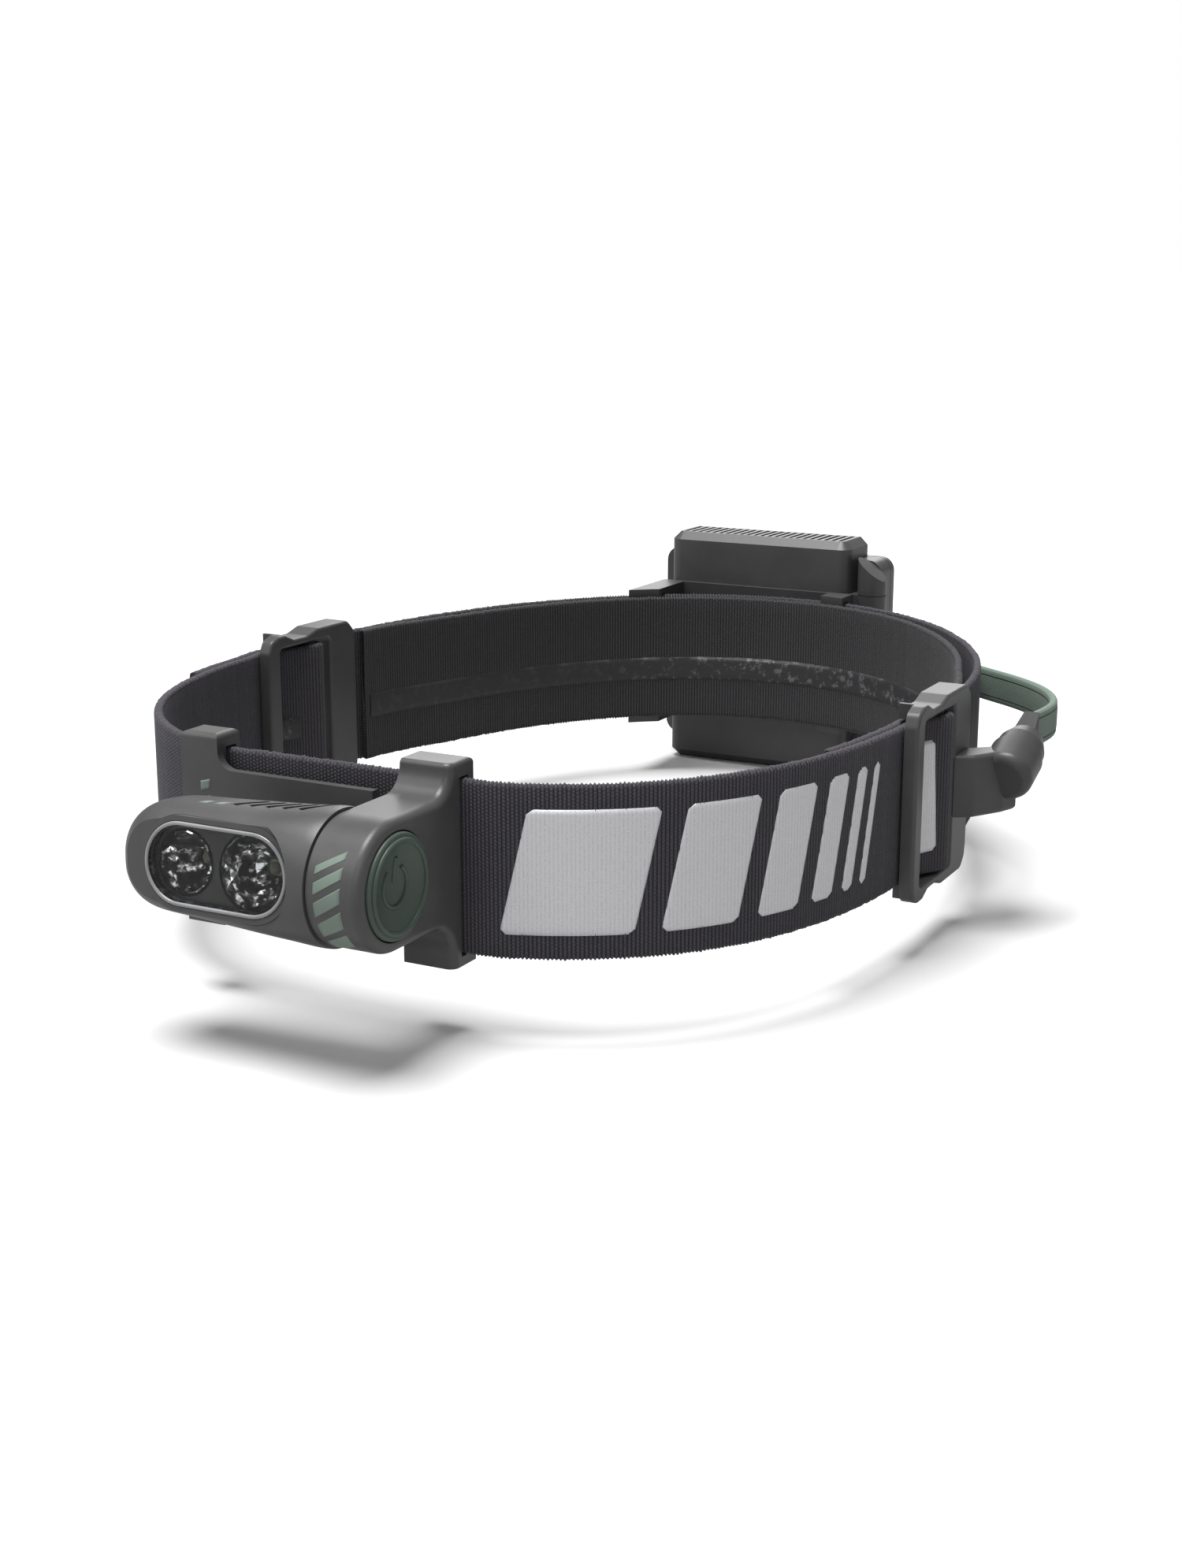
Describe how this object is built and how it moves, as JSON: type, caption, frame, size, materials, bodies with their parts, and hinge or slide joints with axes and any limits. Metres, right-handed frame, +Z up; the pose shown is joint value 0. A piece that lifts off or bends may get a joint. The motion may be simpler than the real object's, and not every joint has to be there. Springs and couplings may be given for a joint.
{
  "type": "headlamp",
  "caption": "Headlamp with a tilting lamp head on an elastic headband, a rear battery case with a hinged door, and a flat plug-in cable along the band.",
  "frame": {"origin": "centre of the bounding box at its lowest face, which is the underside of the battery case", "axes": "+X to the wearer's left, the side of the power button and cable plug; +Y from the lamp to the battery case; +Z up"},
  "size_m": [0.1642, 0.2434, 0.058],
  "materials": {
    "webbing": "ribbed woven elastic",
    "webbing_inner": "ribbed woven elastic, darker",
    "silicone": "glossy",
    "lead_jacket": "satin",
    "frame_plastic": "fine texture",
    "body_plastic": "satin, fine texture",
    "soft_plastic": "matte",
    "button_rubber": "satin",
    "cable_textile": "woven",
    "steel": "satin",
    "contact_brass": "bright",
    "sink_metal": "satin",
    "circuit_board": "solder mask",
    "cell_jacket": "gloss",
    "clear_lens": "clear, polished",
    "mirror_coat": "polished, faceted",
    "led_lens": "gloss"
  },
  "bodies": {
    "band": {"front_strap": "webbing", "rear_outer_strap": "webbing", "rear_inner_strap": "webbing_inner", "silicone_grip": "silicone", "front_grips": "silicone", "lamp_lead": "lead_jacket", "right_buckle": "frame_plastic", "left_buckle": "frame_plastic", "strap_pins": "steel", "lamp_bracket": "body_plastic", "button_ring": "body_plastic", "driver_board": "circuit_board", "switch_dome": "steel", "detent_spring": "steel", "strap_cradle": "frame_plastic", "battery_case": "body_plastic", "door_seal": "silicone", "hinge_pin": "steel", "contact_plates": "steel", "contact_springs": "steel", "cable_gland": "body_plastic", "gland_cap": "body_plastic", "cable": "cable_textile", "socket_arm": "frame_plastic", "socket_contacts": "contact_brass", "cable_plug": "frame_plastic", "strain_relief": "soft_plastic", "cell_1": "cell_jacket", "cell_2": "cell_jacket", "cell_3": "cell_jacket"},
    "lamp_head": {"head_shell": "body_plastic", "head_rear_cover": "body_plastic", "lens_bezel": "body_plastic", "lens": "clear_lens", "lens_gasket": "silicone", "reflector_trim": "frame_plastic", "spot_reflector": "mirror_coat", "flood_reflector": "mirror_coat", "spot_led": "led_lens", "flood_led": "led_lens", "led_board": "circuit_board", "heat_sink": "sink_metal", "tilt_shaft": "frame_plastic", "detent_wheel": "frame_plastic"},
    "power_button": {"power_button": "button_rubber"},
    "battery_door": {"battery_door": "body_plastic"}
  },
  "joints": [
    {"name": "lamp_tilt", "type": "hinge", "parent": "band", "child": "lamp_head", "pos_m": [-0.00677, -0.10997, 0.031], "axis": [1, 0, 0], "range_deg": [0, 60]},
    {"name": "button_press", "type": "slide", "parent": "band", "child": "power_button", "axis": [-1, 0, 0], "range_m": [0, 0.0008], "stiffness_N_per_m": 700},
    {"name": "door_swing", "type": "hinge", "parent": "band", "child": "battery_door", "pos_m": [-0.04397, 0.12003, 0.029], "axis": [0, 0, 1], "range_deg": [0, 95]}
  ]
}
